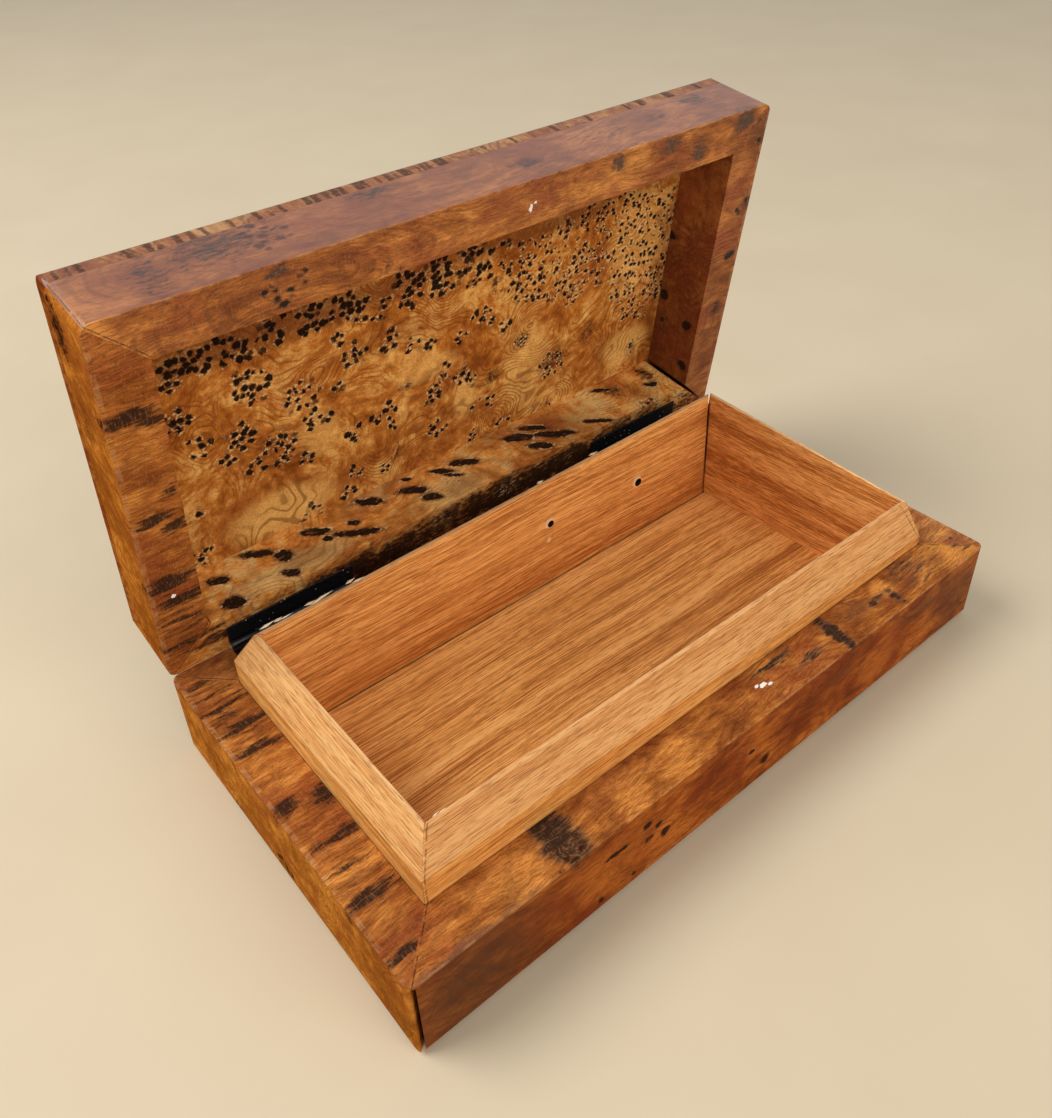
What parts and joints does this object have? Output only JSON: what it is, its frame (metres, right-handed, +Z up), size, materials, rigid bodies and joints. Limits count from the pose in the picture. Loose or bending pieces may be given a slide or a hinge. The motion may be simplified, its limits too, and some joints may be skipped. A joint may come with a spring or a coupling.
{
  "type": "hinged wooden box",
  "caption": "Small hinged burl wood keepsake box standing open, with mitred walls, a laid-on lid panel, a bevelled cedar lining and black butt hinges.",
  "frame": {"origin": "middle of the underside of the base", "axes": "+X along the length to the box's right, -Y to the front, +Z up; the lid hinges at the back, +Y"},
  "size_m": [0.2, 0.1313, 0.136],
  "materials": {
    "burl_wall": "varnished burl, reddish brown with dark eyes and streaks",
    "burl_panel": "varnished burl, golden with clusters of dark eyes",
    "cedar": "bare, straight grain, satin",
    "plain_wood": "bare, matt",
    "hinge_black": "gloss black lacquer on steel"
  },
  "bodies": {
    "base": {"base_front_wall": "burl_wall", "base_back_wall": "burl_wall", "base_left_wall": "burl_wall", "base_right_wall": "burl_wall", "bottom_board": "plain_wood", "floor_board": "cedar", "lining_front": "cedar", "lining_right": "cedar", "lining_back": "cedar", "lining_left": "cedar", "left_hinge_base_leaf": "hinge_black", "left_hinge_pin": "hinge_black", "right_hinge_base_leaf": "hinge_black", "right_hinge_pin": "hinge_black", "base_hinge_screws": "hinge_black"},
    "lid": {"lid_front_wall": "burl_wall", "lid_back_wall": "burl_wall", "lid_left_wall": "burl_wall", "lid_right_wall": "burl_wall", "lid_top_panel": "burl_panel", "left_hinge_lid_leaf": "hinge_black", "right_hinge_lid_leaf": "hinge_black", "lid_hinge_screws": "hinge_black"}
  },
  "joints": [
    {"name": "lid_hinge", "type": "hinge", "parent": "base", "child": "lid", "pos_m": [0, 0.05355, 0.0264], "axis": [-1, 0, 0], "range_deg": [-81, 0]}
  ]
}
